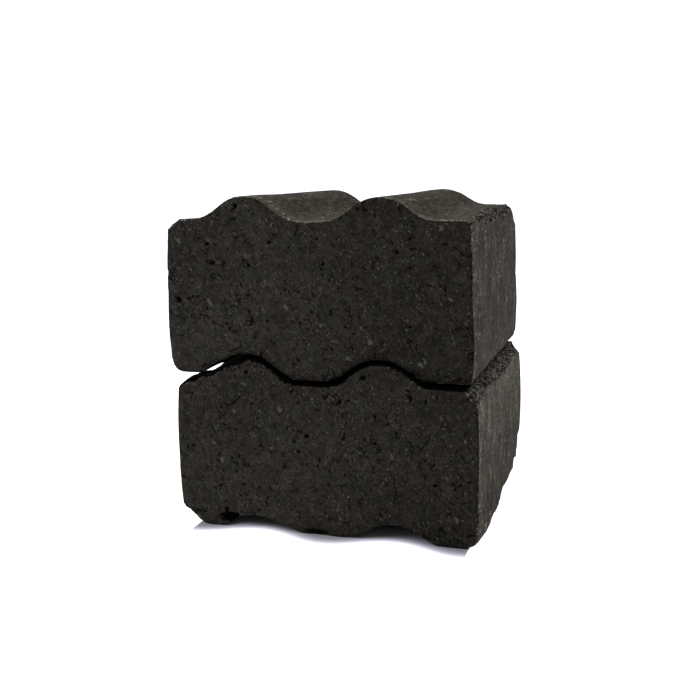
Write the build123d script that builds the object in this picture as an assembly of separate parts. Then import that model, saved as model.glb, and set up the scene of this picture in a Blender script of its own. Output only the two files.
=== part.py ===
"""Two pressed charcoal blocks with wavy tops and undersides, stacked so that the waves nest.

Millimetres. +Z is up, +X runs across the waves and +Y runs along them, away from the front.
The origin is on the ground, under the middle of the stack's box.
"""
import os
from math import cos, radians, tan

from build123d import *

# One block
WIDTH = 80.0           # across the waves
DEPTH = 77.0           # along the waves
THICKNESS = 40.5       # from an outer foot straight up to the shoulder above it
WAVE_PITCH = 36.3      # from one crest to the other
WAVE_HEIGHT = 5.3      # a crest above the shoulders
FLANK_ANGLE = 35.0     # slope of the straight stretch on a wave's side, degrees
CREST_RADIUS = 11.5    # round top of a wave
TROUGH_RADIUS = 9.4    # round run-out at the bottom of a wave's side
MIDDLE_DROP = 0.8      # the trough between the crests lies this much under the shoulders
EDGE_RADIUS = 0.4      # worn edges around the front and back faces
WORN_FOOT_HEIGHT = 4.6  # height of the lower block's arches, whose feet are worn short

# The stack
STACK_GAP = 1.0        # straight up, between the two wavy faces that nest
SET_BACK = 2.7         # the upper block stands this much further back
SIDE_SHIFT = 2.2       # and this much further to the left
WAVE_PLAY = 0.85       # the upper block's arches sit this far left of the crests inside them

# How far the waves are pressed off the middle of the block
LOWER_FOOT_SHIFT = 0.65
UPPER_FOOT_SHIFT = -1.25
UPPER_TOP_SHIFT = -0.9
LOWER_TOP_SHIFT = UPPER_FOOT_SHIFT - SIDE_SHIFT + WAVE_PLAY

# Worn corners of each block's outline, seen from the front
LOWER_CORNERS = {"bottom_left": 5.5, "bottom_right": 1.6, "top_right": 2.4, "top_left": 3.5}
UPPER_CORNERS = {"bottom_left": 3.4, "bottom_right": 1.2, "top_right": 1.2, "top_left": 2.6}


def wave_corners(level, middle, drop, height=WAVE_HEIGHT):
    """Corners of a wavy side from left to right, as they are before rounding."""
    slope = radians(FLANK_ANGLE)
    peak = height + CREST_RADIUS * (1 / cos(slope) - 1)
    outer_run = peak / tan(slope)
    inner_run = (peak + drop) / tan(slope)
    left_crest = middle - WAVE_PITCH / 2
    right_crest = middle + WAVE_PITCH / 2
    return [
        (left_crest - outer_run, level),
        (left_crest, level + peak),
        (left_crest + inner_run, level - drop),
        (right_crest - inner_run, level - drop),
        (right_crest, level + peak),
        (right_crest + outer_run, level),
    ]


def block_outline(top_shift, foot_shift, foot_drop, arch_height, corners):
    """The closed outline of a block, seen from the front: feet, right side, top, left side."""
    half = WIDTH / 2
    wave_radii = [TROUGH_RADIUS, CREST_RADIUS, TROUGH_RADIUS]
    wave_radii = wave_radii + wave_radii[::-1]
    points = [(-half, 0)]
    points += wave_corners(0, foot_shift, foot_drop, arch_height)
    points += [(half, 0), (half, THICKNESS)]
    points += wave_corners(THICKNESS, top_shift, MIDDLE_DROP)[::-1]
    points += [(-half, THICKNESS)]
    radii = [corners["bottom_left"]]
    radii += wave_radii
    radii += [corners["bottom_right"], corners["top_right"]]
    radii += wave_radii
    radii += [corners["top_left"]]
    return FilletPolyline(*points, radius=radii, close=True)


def make_block(top_shift, foot_shift, foot_drop, arch_height, corners):
    """One solid block: the outline drawn through from front to back, with its end edges worn round."""
    with BuildPart() as block:
        with BuildSketch(Plane.XZ):
            with BuildLine():
                block_outline(top_shift, foot_shift, foot_drop, arch_height, corners)
            make_face()
        extrude(amount=DEPTH / 2, both=True)
        ends = block.faces().filter_by(Axis.Y)
        fillet(ends.edges(), EDGE_RADIUS)
    return block.part


def make_lower_block():
    """The block on the ground, with all three of its feet worn to one level."""
    block = make_block(LOWER_TOP_SHIFT, LOWER_FOOT_SHIFT, 0, WORN_FOOT_HEIGHT, LOWER_CORNERS)
    return Pos(SIDE_SHIFT / 2, -SET_BACK / 2, 0) * block


def make_upper_block():
    """The block on top, with its arches over the crests of the lower one."""
    block = make_block(UPPER_TOP_SHIFT, UPPER_FOOT_SHIFT, MIDDLE_DROP, WAVE_HEIGHT, UPPER_CORNERS)
    return Pos(-SIDE_SHIFT / 2, SET_BACK / 2, THICKNESS + STACK_GAP) * block


nodes = {
    "lower_block": make_lower_block(),
    "upper_block": make_upper_block(),
}

os.makedirs("parts", exist_ok=True)
for name, solid in nodes.items():
    solid.label = name
    export_step(solid, f"parts/{name}.step")
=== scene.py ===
"""Looks for a stacked pair of pressed charcoal blocks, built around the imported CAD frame.

Each block's CAD solid is copied into an even net of small quads, which is then worn, chipped
and pitted in place. Lengths inside the sculpting functions are millimetres, measured from the
middle of the block's underside; Blender's own lengths are metres.
"""
from math import pi, radians

import bmesh
import bpy
import numpy as np
from mathutils import Matrix, Vector


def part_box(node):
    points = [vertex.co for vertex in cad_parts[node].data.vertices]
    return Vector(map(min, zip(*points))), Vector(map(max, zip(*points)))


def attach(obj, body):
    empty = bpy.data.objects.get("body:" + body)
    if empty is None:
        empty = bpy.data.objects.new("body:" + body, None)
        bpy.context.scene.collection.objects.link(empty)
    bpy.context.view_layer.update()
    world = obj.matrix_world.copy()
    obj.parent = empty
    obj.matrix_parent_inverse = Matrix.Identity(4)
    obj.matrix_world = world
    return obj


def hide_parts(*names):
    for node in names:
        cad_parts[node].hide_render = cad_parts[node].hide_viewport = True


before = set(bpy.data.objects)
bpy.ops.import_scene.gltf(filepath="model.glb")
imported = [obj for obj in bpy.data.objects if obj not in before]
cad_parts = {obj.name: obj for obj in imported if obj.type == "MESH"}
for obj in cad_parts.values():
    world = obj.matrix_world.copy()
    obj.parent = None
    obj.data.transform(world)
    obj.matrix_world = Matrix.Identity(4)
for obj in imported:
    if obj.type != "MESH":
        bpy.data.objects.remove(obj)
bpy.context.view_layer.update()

MM = 0.001

# Net of quads over each block
QUAD_SIZE = 0.54          # mm
BINS_PER_MM = 2           # for reading the wavy outline off the CAD mesh
UNREAD = 1e9              # mm, height of the outline where nothing has been read
ROUNDED_ENDS = 4          # mm of the outline at either side that the rounded edges spoil

# Camera, at the photograph's viewing angle
CAMERA_PLACE = Vector((1.009, -3.400, 1.168))   # block widths from the stack's origin
CAMERA_YAW = 17.16        # degrees
CAMERA_PITCH = -10.23     # degrees
CAMERA_ROLL = 0.74        # degrees
CAMERA_LENS = 50.9        # mm
CAMERA_SENSOR = 36.0      # mm


# ---------------------------------------------------------------- noise on points

def smoothstep(low, high, value):
    """0 up to low, 1 from high on, and a smooth way between them. low may be the larger of the two."""
    share = np.clip((value - low) / (high - low), 0, 1)
    return share * share * (3 - 2 * share)


def cell_random(cells, seed):
    """An even random number from 0 to 1 for each whole-numbered cell, the same on every run."""
    x, y, z = (cells[:, axis].astype(np.int64).astype(np.uint32) for axis in range(3))
    mixed = x * np.uint32(374761393) + y * np.uint32(668265263)
    mixed = mixed + z * np.uint32(2246822519) + np.uint32(seed * 3266489917 % 2**32)
    mixed = (mixed ^ (mixed >> np.uint32(15))) * np.uint32(2246822519)
    mixed = (mixed ^ (mixed >> np.uint32(13))) * np.uint32(3266489917)
    return (mixed ^ (mixed >> np.uint32(16))) / 2**32


def corner_offsets(low, high):
    """Every whole-numbered (x, y, z) with each number from low up to high."""
    steps = range(low, high + 1)
    return [np.array((x, y, z)) for x in steps for y in steps for z in steps]


def noise(points, size, seed):
    """Smooth noise from 0 to 1 with lumps about size mm across; size may be one number per axis."""
    scaled = points / np.asarray(size, float)
    cells = np.floor(scaled)
    inside = scaled - cells
    inside = inside * inside * (3 - 2 * inside)
    total = np.zeros(len(points))
    for offset in corner_offsets(0, 1):
        weight = np.prod(np.where(offset == 1, inside, 1 - inside), axis=1)
        total += weight * cell_random(cells + offset, seed)
    return total


def rough_noise(points, size, seed, layers=3):
    """Several layers of noise, each half the size and half the height of the one before."""
    total = np.zeros(len(points))
    height = 1.0
    for layer in range(layers):
        total += height * noise(points, np.asarray(size, float) / 2**layer, seed + layer)
        height /= 2
    return total / (2 - 2 * height)


def spots(points, spacing, share, radii, seed):
    """Scattered round spots: 1 at a spot's middle, falling to 0 at its rim and beyond."""
    scaled = points / spacing
    home = np.floor(scaled)
    best = np.zeros(len(points))
    for offset in corner_offsets(-1, 1):
        cells = home + offset
        middle = cells + np.stack([cell_random(cells, seed + axis) for axis in (1, 2, 3)], axis=1)
        radius = radii[0] + (radii[1] - radii[0]) * cell_random(cells, seed + 4) ** 2
        radius = np.where(cell_random(cells, seed + 5) < share, radius, 1e-6)
        away = np.linalg.norm((scaled - middle) * spacing, axis=1)
        best = np.maximum(best, 1 - away / radius)
    return best


# ---------------------------------------------------------------- the net of one block

class Net:
    """A block's surface as arrays: points in mm from the middle of the underside, and quads."""

    def __init__(self, mesh, origin, half_size):
        flat = np.empty(len(mesh.vertices) * 3)
        mesh.vertices.foreach_get("co", flat)
        corners = np.empty(len(mesh.loops), dtype=np.int64)
        mesh.loops.foreach_get("vertex_index", corners)
        edges = np.empty(len(mesh.edges) * 2, dtype=np.int64)
        mesh.edges.foreach_get("vertices", edges)
        self.origin = origin
        self.half_size = half_size
        self.points = flat.reshape(-1, 3) / MM - origin
        self.quads = corners.reshape(-1, 4)
        self.edges = edges.reshape(-1, 2)
        self.links = np.bincount(self.edges.ravel(), minlength=len(self.points))
        self.read_outline()

    def read_outline(self):
        """Heights of the wavy top and underside for each place across the block.

        A place with few points of its own takes the height of its lower neighbour (of its higher
        one, for the underside).
        """
        half = self.half_size[0]
        across = self.points[:, 0]
        count = int(2 * half * BINS_PER_MM)
        bins = np.clip(((across + half) * BINS_PER_MM).astype(int), 0, count - 1)
        top = np.full(count, -UNREAD)
        foot = np.full(count, UNREAD)
        np.maximum.at(top, bins, self.points[:, 2])
        np.minimum.at(foot, bins, self.points[:, 2])
        top[1:-1] = np.maximum(top[1:-1], np.minimum(top[:-2], top[2:]))
        foot[1:-1] = np.minimum(foot[1:-1], np.maximum(foot[:-2], foot[2:]))
        filled = top > foot
        self.bin_middles = ((np.arange(count) + 0.5) / BINS_PER_MM - half)[filled]
        self.bin_top = top[filled]
        self.bin_foot = foot[filled]

    def top(self, across):
        return np.interp(across, self.bin_middles, self.bin_top)

    def foot(self, across):
        return np.interp(across, self.bin_middles, self.bin_foot)

    def average(self, values):
        """Each point's value replaced by the mean of its neighbours' values."""
        first, second = self.edges.T
        count = len(self.points)
        columns = []
        for column in values.T:
            total = np.bincount(first, column[second], minlength=count)
            total += np.bincount(second, column[first], minlength=count)
            columns.append(total / self.links)
        return np.stack(columns, axis=1)

    def smoothed(self, reach):
        """The points of the block rounded off all over, by a blur about reach mm wide."""
        points = self.points
        for _ in range(round(2 * (reach / QUAD_SIZE) ** 2)):
            points = self.average(points)
        return points

    def normals(self, smooth_rounds=2):
        """Unit normals at the points, evened out over a few neighbours."""
        a, b, c, d = (self.points[self.quads[:, corner]] for corner in range(4))
        across = np.cross(c - a, d - b)
        count = len(self.points)
        total = np.zeros((count, 3))
        for corner in range(4):
            for axis in range(3):
                total[:, axis] += np.bincount(self.quads[:, corner], across[:, axis], minlength=count)
        for _ in range(smooth_rounds):
            total = self.average(total)
        return total / np.linalg.norm(total, axis=1, keepdims=True)

    def place(self, across, along, level):
        """A point on the block: across and along from -1 to 1, level 0 underside or 1 top."""
        x = across * self.half_size[0]
        y = along * self.half_size[1]
        inner = np.clip(x, self.bin_middles[0] + ROUNDED_ENDS, self.bin_middles[-1] - ROUNDED_ENDS)
        z = (1 - level) * self.foot(inner) + level * self.top(inner)
        return np.array((x, y, z))


def even_quads(node, name):
    """A new object: the CAD node's solid as an even net of quads."""
    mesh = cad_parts[node].data.copy()
    welded = bmesh.new()
    welded.from_mesh(mesh)
    bmesh.ops.remove_doubles(welded, verts=welded.verts, dist=0.001 * MM)
    welded.to_mesh(mesh)
    welded.free()
    mesh.materials.clear()
    piece = bpy.data.objects.new(name, mesh)
    bpy.context.scene.collection.objects.link(piece)
    remesh = piece.modifiers.new("even quads", "REMESH")
    remesh.mode = "VOXEL"
    remesh.voxel_size = QUAD_SIZE * MM
    snug = piece.modifiers.new("snug", "SHRINKWRAP")
    snug.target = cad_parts[node]
    ready = piece.evaluated_get(bpy.context.evaluated_depsgraph_get())
    piece.modifiers.clear()
    piece.data = bpy.data.meshes.new_from_object(ready)
    return piece


# ---------------------------------------------------------------- wear

class Worn:
    """A stretch of edge, or a corner, that is worn or broken.

    start and end are as Net.place takes them, and reach is how far from the stretch the wear goes,
    in mm. The amounts say how round it gets at each end, and bare how far it lacks polish, 0 to 1.
    """

    RAGGED_SIZE = (2.5, 6.0, 2.0)   # mm, size of the bays along the border of the wear

    def __init__(self, start, end, reach, start_amount, end_amount, bare=0.0):
        self.start = start
        self.end = end
        self.reach = reach
        self.start_amount = start_amount
        self.end_amount = end_amount
        self.bare = bare

    def shares(self, net, points):
        """How near each point is to the stretch, and how worn the stretch is beside it."""
        start = net.place(*self.start)
        way = net.place(*self.end) - start
        share = np.clip((points - start) @ way / max(way @ way, 1e-9), 0, 1)
        away = np.linalg.norm(points - start - share[:, None] * way, axis=1)
        ragged = 1 + 1.8 * (rough_noise(points, self.RAGGED_SIZE, 5) - 0.5)
        reach = self.reach * np.clip(ragged, 0.6, 1.4)
        amount = self.start_amount + (self.end_amount - self.start_amount) * share
        return smoothstep(1, 0.35, away / reach), amount


def corner_worn(corner, reach, amount, bare=0.0):
    return Worn(corner, corner, reach, amount, amount, bare)


class Dent:
    """A place where a block is pushed in or out.

    middle is as Net.place takes it, reach and shift are mm along the three axes, and black is
    how dark it is painted inside, from 0 to 1, as painted shade in the hollow.
    """

    def __init__(self, middle, reach, shift, black=0.0):
        self.middle = middle
        self.reach = reach
        self.shift = shift
        self.black = black

    def share(self, net):
        away = (net.points - net.place(*self.middle)) / self.reach
        return smoothstep(1, 0.3, np.linalg.norm(away, axis=1))


UPPER_WEAR = [
    corner_worn((-1, -1, 1), 3.4, 0.28, bare=1.0),
    Worn((-1, -1, 1), (-0.8, -1, 1), 1.5, 0.10, 0.05, bare=1.0),
    Worn((0.98, -0.70, 1), (0.98, 1, 1), 2.8, 0.10, 0.40, bare=1.0),
    corner_worn((1, 1, 1), 5.0, 0.75, bare=0.6),
    corner_worn((-1, 1, 1), 6.0, 0.60, bare=0.8),
    Worn((-1, -0.6, 1), (-1, 1, 1), 4.0, 0.10, 0.50),
    Worn((-1, 1, 0), (1, 1, 0), 3.5, 0.50, 0.12),
]

LOWER_WEAR = [
    Worn((1, -1, 1), (1, 1, 1), 3.4, 0.50, 0.45, bare=1.0),
    Worn((1, -1, 0), (1, 1, 0), 2.2, 0.30, 0.20, bare=0.5),
    corner_worn((1, 1, 0), 5.0, 0.50),
    corner_worn((-1, -1, 1), 4.5, 0.22, bare=1.0),
    Worn((-1, -1, 1), (-0.55, -1, 1), 2.4, 0.45, 0.20, bare=1.0),
    Worn((-1, -0.8, 1), (-1, 1, 1), 5.0, 0.40, 0.25),
    corner_worn((-1, -1, 0), 6.0, 0.12, bare=1.0),
    corner_worn((-1, 1, 1), 6.0, 0.50, bare=0.8),
    Worn((-0.2, 1, 1), (0.9, 1, 1), 4.0, 0.20, 0.70, bare=0.7),
]

UPPER_DENTS = [
    # The top is uneven: it rises towards the back, most at the right, and is low at the left
    Dent((-0.2, 0.5, 1), (40, 75, 14), (0, 0, 0.35)),
    Dent((-0.455, -1, 1), (9, 30, 6), (0, 0, 0.35)),
    Dent((0.98, 0.75, 1), (23, 62, 12), (0, 0, 0.9)),
    Dent((0.78, -1, 1), (20, 40, 8), (0, 0, -0.4)),
    Dent((0.5, 1, 1), (14, 40, 10), (0, 0, 0.3)),
    Dent((-0.95, 0.25, 1), (9, 62, 6), (0, 0, -0.7)),
    # The left side stands out, most near its foot. The right one is drawn in, but for its foot
    Dent((-1, 0, 0.5), (12, 200, 30), (-0.3, 0, 0)),
    Dent((-1, 0, 0.15), (12, 200, 16), (-0.6, 0, 0)),
    Dent((1, 0, 0.5), (12, 200, 30), (-0.3, 0, 0)),
    Dent((1, 0, 0.12), (12, 200, 18), (0.7, 0, 0)),
    # The foot at the left hangs low, with a groove beside it that light shines through
    Dent((-0.90, -1, 0), (9, 9, 5), (0, 0, -0.4)),
    Dent((-0.715, -1, 0), (3.3, 16, 3.5), (0, 0, 1.1)),
    # The front rim of the underside comes down a little over the gap
    Dent((-0.24, -1, 0), (10, 2.2, 6), (0, 0, -0.25)),
    Dent((-0.05, -1, 0), (9, 2.2, 4), (0, 0, -0.3)),
    Dent((0.60, -1, 0), (13, 2.2, 6), (0, 0, -0.35)),
    # A chip in the right front edge, and a pit in the top
    Dent((1, -0.96, 0.97), (0.9, 1.4, 0.9), (-0.5, 0, -0.3), black=1.0),
    Dent((-0.02, 0.55, 1), (1.2, 4.0, 1.0), (0, 0, -0.4), black=0.8),
]

LOWER_DENTS = [
    # The top is sunk at the left, behind a crumb that stands up from the front rim
    Dent((-0.95, -0.54, 1), (6, 9.5, 6), (0, 0, -0.9)),
    Dent((-0.84, -1, 1), (2.4, 2.5, 3.0), (0, 0, 0.5)),
    # The front rim of the top stands up a little before the gap
    Dent((-0.43, -1, 1), (22, 2.8, 9), (0, 0, 0.6)),
    Dent((-0.05, -1, 1), (9, 2.8, 5), (0, 0, 0.3)),
    Dent((0.47, -1, 1), (22, 2.8, 9), (0, 0, 0.45)),
    # The left foot is cut away at its corner, and has a scrape and a deep pit with a crack
    Dent((-1, -1, 0), (8, 8, 5), (0.3, 0, 1.4)),
    Dent((-0.87, -1, 0.09), (3.2, 2.0, 0.9), (0, 0.6, 0), black=0.45),
    Dent((-0.655, -1, 0.03), (4.6, 4.0, 2.0), (0.3, 1.8, 0.4), black=1.0),
    Dent((-0.68, -1, 0.09), (0.7, 1.5, 2.0), (0, 0.4, 0), black=0.8),
    # The arch beside it runs out low, to a middle foot with a hollow in its front
    Dent((-0.38, -1, 0), (9, 12, 4), (0, 0, -1.2)),
    Dent((-0.04, -1, 0.02), (5.5, 1.5, 1.2), (0, 0.6, 0), black=0.6),
    # The right side has a notch near the front, swells low down, and is notched at the back
    Dent((1, -0.95, 0.19), (1.3, 2.2, 3.4), (-0.6, 0, 0), black=0.65),
    Dent((1, -0.45, 0), (9, 28, 14), (1.0, 0, 0)),
    Dent((1, 0.97, 0.16), (3.0, 8.0, 7.0), (-0.5, 0, 0)),
    Dent((1, 0.86, 0.09), (3.5, 6.0, 4.5), (-0.5, 0, 0), black=0.3),
]

SOFT_REACH = 4.2          # mm, the roundest that a broken edge gets
FINE_REACH = 0.35         # mm, the round that every edge has
CRISPNESS = 0.15          # how far an unworn edge is drawn back out to where the net rounded it off

# Chips along all edges: how round they are, their size in mm, the noise at which they begin and
# are whole, and what is added to the block's seed
EDGE_CHIPS = (
    (0.05, 14.0, 0.40, 0.85, 0),
    (0.14, 2.4, 0.56, 0.74, 10),
    (0.22, 5.0, 0.62, 0.70, 15),
)
EDGE_CRUMBS = (2.4, 3.4, 2.4)   # mm, size of the crumbs along worn stretches
BROKEN_LOSS = (0.16, 0.45)      # mm worn away where an edge begins to look broken, and is wholly so


def edge_wear(net, stretches, seed):
    """How far each point goes from sharp towards fully rounded, and how bare it is, 0 to about 1."""
    points = net.points
    wear = -CRISPNESS
    for roundness, size, begins, whole, more in EDGE_CHIPS:
        wear = wear + roundness * smoothstep(begins, whole, rough_noise(points, size, seed + more))
    crumbs = 0.5 + rough_noise(points, EDGE_CRUMBS, seed + 20)
    bare = np.zeros(len(points))
    for stretch in stretches:
        near, amount = stretch.shares(net, points)
        wear = np.maximum(wear, near * amount * crumbs)
        bare = np.maximum(bare, stretch.bare * smoothstep(0.02, 0.22, near))
    return wear, bare


def wear_edges(net, stretches, seed):
    """Rounds and breaks the edges. Returns how broken each point is, from 0 to 1."""
    wear, bare = edge_wear(net, stretches, seed)
    fine = net.smoothed(FINE_REACH)
    soft = net.smoothed(SOFT_REACH)
    net.points = fine + (soft - fine) * wear[:, None]
    lost = np.linalg.norm(net.points - fine, axis=1)
    return np.maximum(smoothstep(*BROKEN_LOSS, np.where(wear > 0, lost, 0)), bare)


def push_dents(net, dents):
    """Moves the points of each dent. Returns how black each point is, from 0 to 1."""
    black = np.zeros(len(net.points))
    for dent in dents:
        share = dent.share(net)
        black = np.maximum(black, dent.black * share)
        net.points = net.points + share[:, None] * np.array(dent.shift)
    return black


# ---------------------------------------------------------------- faces

def face_shares(normals):
    """How much each point belongs to the end faces, the sides and the wavy faces."""
    steep = np.abs(normals) ** 6
    steep = steep / steep.sum(axis=1, keepdims=True)
    return steep[:, 1], steep[:, 0], steep[:, 2]


def warped(points, reach, seed):
    """The points moved about at random, by up to half of reach, to make crooked what is placed by them."""
    shifts = [rough_noise(points, 1.4, seed + axis) - 0.5 for axis in range(3)]
    return points + reach * np.stack(shifts, axis=1)


def level_share(net, points):
    """0 at the block's underside and 1 at its top."""
    low = net.foot(points[:, 0])
    high = net.top(points[:, 0])
    return np.clip((points[:, 2] - low) / (high - low), 0, 1)


BULGE = 0.8               # mm that the sides stand out at half their height
PIT_SPACING = 3.0         # mm between the places that may have a pit
PIT_CHANCE = 0.75         # of a pit at such a place
PIT_RADII = (0.35, 1.15)  # mm, of the smallest and the largest pit
PIT_DEPTH = 0.9           # mm


def roughen(net, broken, seed):
    """Grain, pits, ribs and streaks on the faces. Returns how deeply pitted each point is, from 0 to 1."""
    points = net.points
    normals = net.normals()
    ends, sides, waves = face_shares(net.normals(smooth_rounds=8))
    grainy = np.maximum(ends, broken)
    crooked = warped(points, 1.6, seed + 30)
    pits = spots(crooked * (1, 1, 1.25), PIT_SPACING, PIT_CHANCE, PIT_RADII, seed + 40)
    pits *= 0.1 + 0.9 * grainy
    pits *= 0.25 + 0.75 * smoothstep(0.44, 0.58, rough_noise(points, 11, seed + 45))
    ribs = rough_noise(warped(points, 1.2, seed + 35), (6, 2.6, 6), seed + 38, layers=2) - 0.5
    swell = rough_noise(points, 13, seed + 60) - 0.5
    grain = rough_noise(points, 1.3, seed + 70) - 0.5
    lumps = rough_noise(points, 3.4, seed + 80, layers=4) - 0.5
    drawn = noise(points, (0.9, 30, 12), seed + 90) * waves
    drawn += noise(points, (5, 0.9, 16), seed + 95) * sides
    push = (0.45 * ends + 0.30 * sides) * swell
    push += (0.42 * ends + 0.05 + 0.45 * broken) * grain
    push += (0.30 * ends + 0.35 * broken) * lumps
    push += broken * (0.7 * ribs - 0.1)
    push -= 0.06 * drawn
    push -= PIT_DEPTH * smoothstep(0, 0.7, pits)
    level = level_share(net, points)
    push += BULGE * 4 * level * (1 - level) * sides
    net.points = points + normals * push[:, None]
    return smoothstep(0.1, 0.6, pits)


# ---------------------------------------------------------------- what a point is like

FRONT_HIGHLIGHT_REACH = 3.0        # mm over which a painted highlight on the polish fades from the front end
GAP_SHADE_REACH = 6.0          # mm in from the front to where the painted shade in the gap under the block above is blackest
GAP_SHADE_FADE = 0.72          # how much less black it is twice as far in, and beyond
PIT_PAINTED_SHADE = 0.85       # how black the pits are painted, as painted shade in them


def front_highlight_share(net):
    """Where a painted highlight lies on the polish: 1 at the front end of the block, falling to 0 well
    inside.
    """
    inside = net.half_size[1] + net.points[:, 1]
    return np.exp(-np.maximum(inside, 0) / FRONT_HIGHLIGHT_REACH)


def gap_shade_share(net, side_reach):
    """How black each point of the wavy top is painted, as painted shade in the gap under the block above, but
    for side_reach mm along its right edge.
    """
    behind = net.points[:, 1] + net.half_size[1]
    beside = net.half_size[0] - net.points[:, 0]
    below = net.top(net.points[:, 0]) - net.points[:, 2]
    on_top = smoothstep(1.8, 1.0, below) * smoothstep(0.10, 0.28, behind)
    depth = 1 - GAP_SHADE_FADE * smoothstep(GAP_SHADE_REACH, 2 * GAP_SHADE_REACH, behind)
    return on_top * depth * smoothstep(0.6 * side_reach, side_reach, beside)


def polished_share(net, sides, waves):
    """1 on the sides and waves, which the die has polished, and 0 on the end faces and their rims."""
    inside = net.half_size[1] - np.abs(net.points[:, 1])
    return smoothstep(0.3, 0.7, sides + waves) * smoothstep(0.05, 0.45, inside)


# ---------------------------------------------------------------- one block

def write_points(net, mesh):
    mesh.vertices.foreach_set("co", ((net.points + net.origin) * MM).ravel())
    mesh.polygons.foreach_set("use_smooth", np.ones(len(mesh.polygons), dtype=bool))
    mesh.update()


def write_value(mesh, name, values):
    attribute = mesh.attributes.new(name, "FLOAT", "POINT")
    attribute.data.foreach_set("value", np.clip(values, 0, 1).astype(np.float32))


CHART_MARGIN = 3.0        # mm between the six flat charts


def write_charts(net, mesh, normals):
    """A UV layer of six flat charts, one for each side of the block, at one scale."""
    half = net.half_size
    length, depth, height = 2 * half[0], 2 * half[1], 2 * half[2]
    middle = np.array((0, 0, half[2]))
    facing = normals[net.quads].sum(axis=1)
    axis = np.abs(facing).argmax(axis=1)
    positive = np.take_along_axis(facing, axis[:, None], axis=1)[:, 0] > 0
    rows = {2: 0.0, 1: depth + CHART_MARGIN, 0: depth + height + 2 * CHART_MARGIN}
    plane = {0: (1, 2), 1: (0, 2), 2: (0, 1)}
    width = {0: depth, 1: length, 2: length}
    sheet = max(depth + 2 * height, 2 * length) + 4 * CHART_MARGIN
    corners = (net.points - middle)[net.quads]
    flat = np.zeros(corners.shape[:2] + (2,))
    for way in range(3):
        chosen = axis == way
        right, up = plane[way]
        shift = np.where(positive[chosen], width[way] + CHART_MARGIN, 0)[:, None]
        flat[chosen, :, 0] = corners[chosen, :, right] + half[right] + CHART_MARGIN + shift
        flat[chosen, :, 1] = corners[chosen, :, up] + half[up] + CHART_MARGIN + rows[way]
    layer = mesh.uv_layers.new(name="OFBake")
    layer.data.foreach_set("uv", (flat / sheet).ravel().astype(np.float32))


def make_block(node, stretches, dents, seed, end_painted_shades, polish_shades, unshaded_edge=None):
    """One charcoal block, standing in for its CAD node and riding on the body of the same name.

    end_painted_shades are how bright its end faces are at the left and at the right, a painted shade that
    darkens them towards the right, and polish_shades how bright its polish is at its foot and at its top. If
    its top gets painted shade in the gap under the block above, unshaded_edge is how much of it along the
    right side does not, in mm.
    """
    low, high = (np.array(corner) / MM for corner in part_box(node))
    half_size = (high - low) / 2
    origin = np.array(((low[0] + high[0]) / 2, (low[1] + high[1]) / 2, low[2]))
    piece = even_quads(node, node + "_charcoal")
    net = Net(piece.data, origin, half_size)
    broken = wear_edges(net, stretches, seed)
    dented = push_dents(net, dents)
    # painted shade: the top of the lower block is painted black in the gap under the block above
    gap_shade = gap_shade_share(net, unshaded_edge) if unshaded_edge else 0
    pitted = roughen(net, broken, seed)
    ends, sides, waves = face_shares(net.normals(smooth_rounds=2))
    # painted shade: black in the pits, inside dark dents and in the gap under the block above
    black = np.maximum(np.maximum(PIT_PAINTED_SHADE * pitted, dented), gap_shade)
    write_points(net, piece.data)
    write_value(piece.data, "broken", broken)
    write_value(piece.data, "black", black)
    write_value(piece.data, "flaky", broken * (1 - ends))
    write_value(piece.data, "side", sides / (sides + waves + 1e-6))
    write_value(piece.data, "polished", polished_share(net, sides, waves))
    write_value(piece.data, "front_highlight", front_highlight_share(net))
    write_value(piece.data, "level", level_share(net, net.points))
    write_charts(net, piece.data, net.normals(smooth_rounds=8))
    piece.data.materials.append(charcoal_material(node, seed, end_painted_shades, polish_shades))
    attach(piece, node)
    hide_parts(node)
    return piece


# ---------------------------------------------------------------- materials

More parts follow.
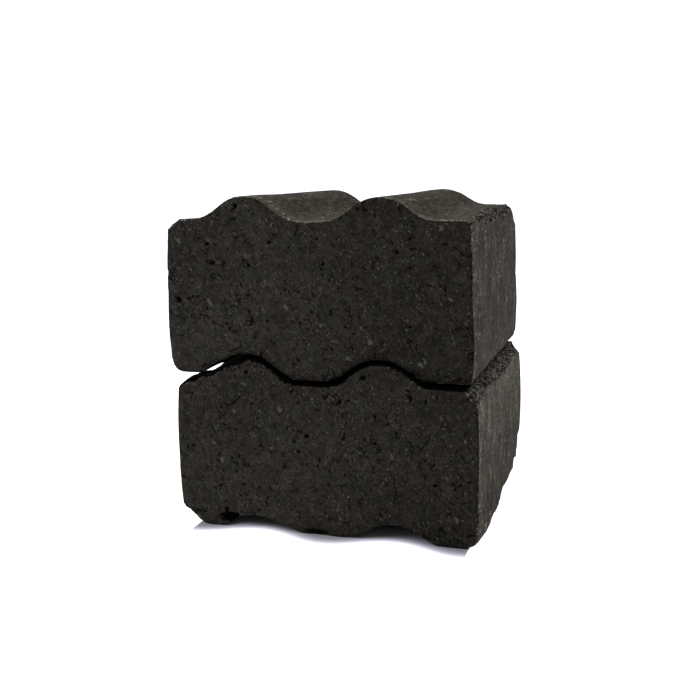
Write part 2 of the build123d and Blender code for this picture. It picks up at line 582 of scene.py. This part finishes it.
class Tree:
    """A new node material, with short calls for the nodes used here."""

    def __init__(self, name):
        self.material = bpy.data.materials.new(name)
        self.material.use_nodes = True
        self.nodes = self.material.node_tree.nodes
        self.links = self.material.node_tree.links
        self.shader = self.nodes["Principled BSDF"]

    def put(self, socket, value):
        if isinstance(value, bpy.types.NodeSocket):
            self.links.new(value, socket)
        else:
            socket.default_value = value

    def node(self, kind, values=(), **settings):
        made = self.nodes.new(kind)
        for name, value in settings.items():
            setattr(made, name, value)
        for key, value in dict(values).items():
            self.put(made.inputs[key], value)
        return made

    def math(self, operation, first, second=0.0):
        return self.node("ShaderNodeMath", {0: first, 1: second}, operation=operation).outputs[0]

    def add(self, first, *others):
        for other in others:
            first = self.math("ADD", first, other)
        return first

    def times(self, first, *others):
        for other in others:
            first = self.math("MULTIPLY", first, other)
        return first

    def fit(self, value, low, high, to_low=0.0, to_high=1.0):
        """to_low where the value is low, to_high where it is high, and a smooth way between them."""
        values = {"Value": value, "From Min": low, "From Max": high, "To Min": to_low, "To Max": to_high}
        made = self.node("ShaderNodeMapRange", values, interpolation_type="SMOOTHSTEP")
        return made.outputs["Result"]

    def spread(self, value, reach, low=0, high=1):
        """A brightness from 1 - reach, where the value is low, to 1 + reach, where it is high."""
        return self.fit(value, low, high, 1 - reach, 1 + reach)

    def frayed(self, share, crumbs, reach):
        """The share with its borders made ragged by the crumbs, by reach either way."""
        return self.add(share, self.fit(crumbs, 0.3, 0.7, -reach, reach))

    def mix(self, share, first, second):
        made = self.node("ShaderNodeMix", data_type="RGBA")
        self.put(made.inputs[0], share)
        self.put(made.inputs[6], first)
        self.put(made.inputs[7], second)
        return made.outputs[2]

    def blend(self, share, first, second):
        made = self.node("ShaderNodeMix", data_type="FLOAT")
        self.put(made.inputs[0], share)
        self.put(made.inputs[2], first)
        self.put(made.inputs[3], second)
        return made.outputs[0]

    def scaled(self, vector, scale):
        return self.node("ShaderNodeVectorMath", {0: vector, 1: scale}, operation="MULTIPLY").outputs[0]

    def noise(self, vector, scale, detail=2.0, roughness=0.5):
        return self.noise_node(vector, scale, detail, roughness).outputs[0]

    def noise_node(self, vector, scale, detail=2.0, roughness=0.5):
        values = {"Vector": vector, "Scale": scale, "Detail": detail, "Roughness": roughness}
        return self.node("ShaderNodeTexNoise", values)

    def moved(self, vector, shift):
        return self.node("ShaderNodeVectorMath", {0: vector, 1: shift}, operation="ADD").outputs[0]

    def shaded(self, colour, shade):
        return self.node("ShaderNodeVectorMath", {0: colour, "Scale": shade}, operation="SCALE").outputs[0]

    def warped(self, vector, scale, reach):
        """The vector moved about at random, by up to half of reach."""
        shift = self.node(
            "ShaderNodeVectorMath", {0: self.noise_node(vector, scale).outputs[1], 1: (0.5, 0.5, 0.5)},
            operation="SUBTRACT",
        ).outputs[0]
        return self.moved(vector, self.shaded(shift, reach))

    def grains(self, vector, scale):
        """Cells packed side by side: three random numbers for each cell."""
        made = self.node("ShaderNodeTexVoronoi", {"Vector": vector, "Scale": scale})
        return self.node("ShaderNodeSeparateColor", {0: made.outputs["Color"]}).outputs

    def cracks(self, vector, scale):
        """The distance to the nearest border between cells."""
        values = {"Vector": vector, "Scale": scale}
        made = self.node("ShaderNodeTexVoronoi", values, feature="DISTANCE_TO_EDGE")
        return made.outputs["Distance"]

    def value(self, name):
        return self.node("ShaderNodeAttribute", attribute_name=name).outputs["Fac"]


END_BROWN = (0.0138, 0.0117, 0.0099, 1)
END_OLIVE = (0.0119, 0.0117, 0.0092, 1)
POLISHED = (0.0290, 0.0264, 0.0216, 1)
POLISHED_BROWN = (0.0300, 0.0252, 0.0198, 1)
# paler polish: the die's streaks, plus a painted highlight at the front end and painted sheen in pale smears
PALE_POLISH_AND_SHEEN = (0.0670, 0.0605, 0.0500, 1)
# black of the painted shade in pits, pores, cracks, dark dents and the gap between the blocks
PAINTED_SHADE_BLACK = (0.0009, 0.0008, 0.0008, 1)
SPECK = (0.040, 0.038, 0.033, 1)
# pale flecks, the charcoal's own, and painted highlights at the front end and beside broken edges
PALE_FLECK_AND_HIGHLIGHT = (0.150, 0.140, 0.120, 1)
FLAKE = (0.120, 0.113, 0.098, 1)


class Grain:
    """The patterns that both looks of pressed charcoal share, in mm over one block."""

    def __init__(self, tree, seed):
        self.place = tree.node("ShaderNodeTexCoord").outputs["Object"]
        self.spot = tree.moved(tree.scaled(self.place, (1 / MM, 1 / MM, 1 / MM)), (seed * 7.3, seed * 3.1, 0))
        self.crooked = tree.warped(self.spot, 1.6, 0.8)
        lean = {"Vector": self.crooked, "Rotation": (0, radians(35), 0)}
        self.leaning = tree.scaled(tree.node("ShaderNodeMapping", lean).outputs[0], (1, 1, 0.62))
        self.fine = tree.grains(self.leaning, 3.2)
        self.coarse = tree.grains(self.leaning, 1.25)
        self.crumbs = tree.noise(self.spot, 1.5, 4, 0.7)
        self.hue = tree.fit(tree.noise(self.spot, 0.20, 4, 0.7), 0.42, 0.58)
        self.clusters = tree.fit(tree.noise(self.spot, 0.16, 3), 0.42, 0.62)
        pore_noise = tree.noise(self.leaning, 1.15, 3, 0.65)
        pore_noise = tree.math("SUBTRACT", pore_noise, tree.fit(self.clusters, 0, 1, 0, 0.04))
        self.pores = tree.fit(pore_noise, 0.37, 0.31)
        self.broken = tree.value("broken")


def bare_colour(tree, grain, end_painted_shades):
    """Bare crushed grains, with pale specks, and pores and cracks painted black as painted shade. Returns the
    holes' share too.
    """
    mottle = tree.noise(grain.spot, 0.33, 4, 0.6)
    clouds = tree.noise(grain.spot, 0.022, 1)
    across = tree.node("ShaderNodeSeparateXYZ", {0: grain.place}).outputs[0]
    shade = tree.times(
        tree.spread(grain.fine[0], 0.32),
        tree.spread(grain.coarse[0], 0.14),
        tree.spread(mottle, 0.20, 0.3, 0.7),
        tree.spread(clouds, 0.12, 0.35, 0.65),
        # painted shade: the end faces are made darker towards the right, as light from the left would leave
        # them
        tree.fit(across, -0.04, 0.04, *end_painted_shades),
    )
    bare = tree.shaded(tree.mix(grain.hue, END_BROWN, END_OLIVE), shade)

    small_specks = tree.fit(tree.add(grain.fine[1], tree.times(grain.clusters, 0.025)), 0.978, 0.998)
    large_specks = tree.fit(tree.add(grain.coarse[2], tree.times(grain.clusters, 0.010)), 0.995, 0.999)
    specks = tree.math("MAXIMUM", small_specks, large_specks)
    bare = tree.mix(tree.times(specks, 0.75), bare, SPECK)

    flakes = tree.noise(tree.scaled(grain.crooked, (1.1, 0.7, 1.1)), 1.0, 3, 0.75)
    flakes = tree.times(tree.fit(flakes, 0.47, 0.60), tree.value("flaky"))
    bare = tree.mix(tree.times(flakes, 0.90), bare, FLAKE)

    crack_gate = tree.fit(tree.noise(grain.spot, 0.25, 1), 0.62, 0.68)
    cracks = tree.fit(tree.cracks(tree.warped(grain.spot, 0.5, 3.0), 0.16), 0.030, 0.012)
    holes = tree.math("MAXIMUM", grain.pores, tree.times(cracks, crack_gate))
    return tree.mix(tree.times(holes, 0.85), bare, PAINTED_SHADE_BLACK), holes


def polished_colour(tree, grain, polish_shades):
    """Polish from the die, drawn in streaks along the way the block left it, with pale flecks, a painted
    highlight towards the front end, and pale patches that are partly the charcoal's own and partly painted
    sheen.

    Most flecks lie in those pale patches, along the front end and beside broken edges; those along the front
    end and beside broken edges are painted highlights, the rest are the charcoal's own.
    """
    side = tree.value("side")
    front_highlight = tree.value("front_highlight")
    side_streaks = tree.noise(tree.scaled(grain.spot, (1, 0.25, 0.10)), 1.0, 4, 0.65)
    wave_streaks = tree.noise(tree.scaled(grain.spot, (1, 0.30, 1)), 0.5, 5, 0.7)
    streaks = tree.fit(tree.blend(side, wave_streaks, side_streaks), 0.35, 0.68)
    smears_and_sheen = tree.fit(tree.noise(tree.scaled(grain.spot, (1, 0.35, 0.30)), 0.40, 5, 0.7), 0.47, 0.66)
    # painted highlight: the polish is made paler towards the front end; the streaks are the die's own
    tone = tree.add(
        tree.times(streaks, tree.blend(side, 0.42, 0.56)),
        tree.times(smears_and_sheen, 0.40),
        tree.times(front_highlight, tree.blend(side, 0.45, 0.12)),
    )
    polished = tree.mix(tone, tree.mix(grain.hue, POLISHED_BROWN, POLISHED), PALE_POLISH_AND_SHEEN)

    side_cells = tree.grains(tree.scaled(grain.crooked, (1.0, 0.55, 1.7)), 1.0)
    wave_cells = tree.grains(tree.scaled(grain.crooked, (1.8, 0.55, 1.0)), 1.0)
    shade = tree.times(
        tree.blend(side, tree.spread(grain.fine[0], 0.38), tree.spread(grain.fine[0], 0.28)),
        tree.blend(side, tree.spread(wave_cells[0], 0.28), tree.spread(side_cells[0], 0.20)),
        tree.fit(tree.value("level"), 0, 0.9, *polish_shades),
    )
    polished = tree.shaded(polished, shade)

    # pale flecks: the charcoal's own, plus painted highlights at the front end and beside broken edges
    flecks = tree.add(
        tree.times(front_highlight, tree.blend(side, 0.30, 0.12)),
        tree.times(smears_and_sheen, 0.06),
        tree.times(tree.fit(grain.broken, 0.02, 0.25), 0.35),
        tree.blend(side, wave_cells[1], side_cells[1]),
    )
    polished = tree.mix(tree.times(tree.fit(flecks, 0.955, 1.04), 0.75), polished, PALE_FLECK_AND_HIGHLIGHT)
    # painted shade in the pores of the polish
    return tree.mix(tree.times(grain.pores, 0.5), polished, PAINTED_SHADE_BLACK)


def charcoal_material(node, seed, end_painted_shades, polish_shades):
    """Pressed charcoal: bare grains on the ends and broken edges, polish elsewhere, and black places of
    painted shade.
    """
    tree = Tree(node + "_pressed_charcoal")
    grain = Grain(tree, seed)
    bare, holes = bare_colour(tree, grain, end_painted_shades)
    polished = polished_colour(tree, grain, polish_shades)

    whole = tree.fit(tree.frayed(grain.broken, grain.crumbs, 0.35), 0.45, 0.30)
    polish = tree.fit(tree.frayed(tree.value("polished"), grain.crumbs, 0.2), 0.42, 0.58)
    polish = tree.times(polish, whole)
    # painted shade: black in the pits, dark dents and the gap under the block above
    black = tree.fit(tree.frayed(tree.value("black"), grain.crumbs, 0.22), 0.25, 0.60)
    colour = tree.mix(black, tree.mix(polish, bare, polished), PAINTED_SHADE_BLACK)
    tree.put(tree.shader.inputs["Base Color"], colour)
    tree.put(tree.shader.inputs["Roughness"], tree.blend(polish, 0.95, 0.6))
    tree.put(tree.shader.inputs["Specular IOR Level"], 0.001)

    height = tree.add(tree.times(grain.fine[0], 0.5), grain.crumbs)
    height = tree.math("SUBTRACT", height, tree.times(tree.math("MAXIMUM", holes, black), 0.9))
    height = tree.times(height, tree.blend(polish, 1.0, 0.25))
    relief = tree.node("ShaderNodeBump", {"Strength": 1.0, "Distance": 0.25 * MM, "Height": height})
    tree.put(tree.shader.inputs["Normal"], relief.outputs[0])
    return tree.material


# ---------------------------------------------------------------- floor

GLOW = 0.65                     # brightness that the floor has of its own, as a light table has
GLOW_FADE = (0.0, -0.0050)      # m inside the stack's footprint where the glow is gone, and whole
PAINTED_SHADOW_FADE = (-0.0045, 0.0025)   # m inside the footprint where the painted shadow begins, and is whole
SIDE_SHARPNESS = 12             # how much faster both fades are beside the stack than in front of it
SIDE_GLOW = 0.35                # more glow close beside the stack, where it would shade the floor
SIDE_GLOW_REACH = 0.010         # m from the stack to where this extra glow begins to fade
FOOT_INSETS = (0.0045, 0.0020)  # m that the stack's foot is narrower than the stack, left and right
FOOT_PITCH = 0.0363             # m from one foot of the stack to the next
FOOT_MIDDLE = 0.00175           # m, place across of the middle foot
FOOT_SHADE_REACH = 0.0030       # m that both fades reach farther out before a foot than before an arch
FLOOR_COOL = (0.68, 0.68, 0.79, 1)
FLOOR_PALE = (0.70, 0.70, 0.80, 1)
# colour of the painted contact shadow under the stack
FLOOR_PAINTED_SHADOW = (0.16, 0.16, 0.185, 1)


def floor_material(footprint):
    """A pale light table: it glows, but not under the middle of the stack, where a dark painted shadow lies.
    """
    tree = Tree("pale_light_table")
    place = tree.node("ShaderNodeTexCoord").outputs["Object"]
    axes = tree.node("ShaderNodeSeparateXYZ", {0: place}).outputs
    depths = []
    for axis, sharpness, insets in ((0, SIDE_SHARPNESS, FOOT_INSETS), (1, 1, (0, 0))):
        low = footprint[0][axis] + insets[0]
        high = footprint[1][axis] - insets[1]
        from_low = tree.math("SUBTRACT", axes[axis], low)
        from_high = tree.math("SUBTRACT", high, axes[axis])
        depths.append(tree.times(tree.math("MINIMUM", from_low, from_high), sharpness))
    beside, before = depths
    turn = tree.times(tree.math("SUBTRACT", axes[0], FOOT_MIDDLE), 2 * pi / FOOT_PITCH)
    before = tree.add(before, tree.times(tree.math("COSINE", turn), FOOT_SHADE_REACH))
    inside = tree.math("MINIMUM", beside, before)
    unshaded_floor = tree.mix(tree.noise(place, 3.0), FLOOR_COOL, FLOOR_PALE)
    # painted contact shadow under the stack and just before its feet
    tree.put(tree.shader.inputs["Base Color"], tree.mix(tree.fit(inside, *PAINTED_SHADOW_FADE), unshaded_floor, FLOOR_PAINTED_SHADOW))
    tree.put(tree.shader.inputs["Roughness"], 0.9)
    tree.put(tree.shader.inputs["Specular IOR Level"], 0.1)
    tree.put(tree.shader.inputs["Emission Color"], (1, 1, 1, 1))
    far = -SIDE_SHARPNESS * SIDE_GLOW_REACH
    side_glow = tree.times(tree.fit(beside, *GLOW_FADE, 0, SIDE_GLOW), tree.fit(beside, 2 * far, far))
    glow = tree.add(tree.fit(inside, *GLOW_FADE, 0, GLOW), side_glow)
    tree.put(tree.shader.inputs["Emission Strength"], glow)
    return tree.material


# ---------------------------------------------------------------- stage

FLOOR_HALF = 20.0         # m
ROOM_LIGHT = 1.02         # strength of the white all round


def make_floor():
    surface = bmesh.new()
    around = ((-1, -1), (1, -1), (1, 1), (-1, 1))
    surface.faces.new([surface.verts.new((x * FLOOR_HALF, y * FLOOR_HALF, 0)) for x, y in around])
    mesh = bpy.data.meshes.new("floor")
    surface.to_mesh(mesh)
    surface.free()
    mesh.materials.append(floor_material(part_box("lower_block")))
    floor = bpy.data.objects.new("floor", mesh)
    bpy.context.scene.collection.objects.link(floor)


def make_light(name, place, size, power, aim):
    data = bpy.data.lights.new(name, "AREA")
    data.shape = "DISK"
    data.size = size
    data.energy = power
    light = bpy.data.objects.new(name, data)
    light.location = place
    light.rotation_euler = (aim - Vector(place)).to_track_quat("-Z", "Y").to_euler()
    bpy.context.scene.collection.objects.link(light)


def make_world():
    world = bpy.data.worlds.new("soft white room")
    world.use_nodes = True
    background = world.node_tree.nodes["Background"]
    background.inputs["Color"].default_value = (1.0, 1.0, 1.0, 1)
    background.inputs["Strength"].default_value = ROOM_LIGHT
    bpy.context.scene.world = world


def make_camera(block_width):
    data = bpy.data.cameras.new("camera")
    data.sensor_width = CAMERA_SENSOR
    data.lens = CAMERA_LENS
    data.clip_start = 0.01
    camera = bpy.data.objects.new("camera", data)
    turn = Matrix.Rotation(radians(CAMERA_YAW), 4, "Z")
    turn = turn @ Matrix.Rotation(radians(CAMERA_PITCH), 4, "X")
    turn = turn @ Matrix.Rotation(radians(CAMERA_ROLL), 4, "Y")
    upright = Matrix.Rotation(radians(90), 4, "X")
    camera.matrix_world = Matrix.Translation(CAMERA_PLACE * block_width) @ turn @ upright
    bpy.context.scene.collection.objects.link(camera)
    bpy.context.scene.camera = camera


make_block(
    "lower_block", LOWER_WEAR, LOWER_DENTS,
    seed=11, end_painted_shades=(0.98, 0.82), polish_shades=(0.79, 1.38), unshaded_edge=3.6,
)
make_block(
    "upper_block", UPPER_WEAR, UPPER_DENTS,
    seed=23, end_painted_shades=(1.00, 0.70), polish_shades=(0.93, 0.93),
)
make_floor()
make_world()
stack_middle = Vector((0, 0, 0.045))
make_light("key", (-0.32, -0.32, 0.34), size=0.25, power=3.2, aim=stack_middle)
make_light("overhead", (0.1, 0.1, 1.0), size=0.8, power=3.0, aim=stack_middle)
low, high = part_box("upper_block")
make_camera(block_width=high[0] - low[0])
bpy.context.scene.view_settings.view_transform = "Standard"
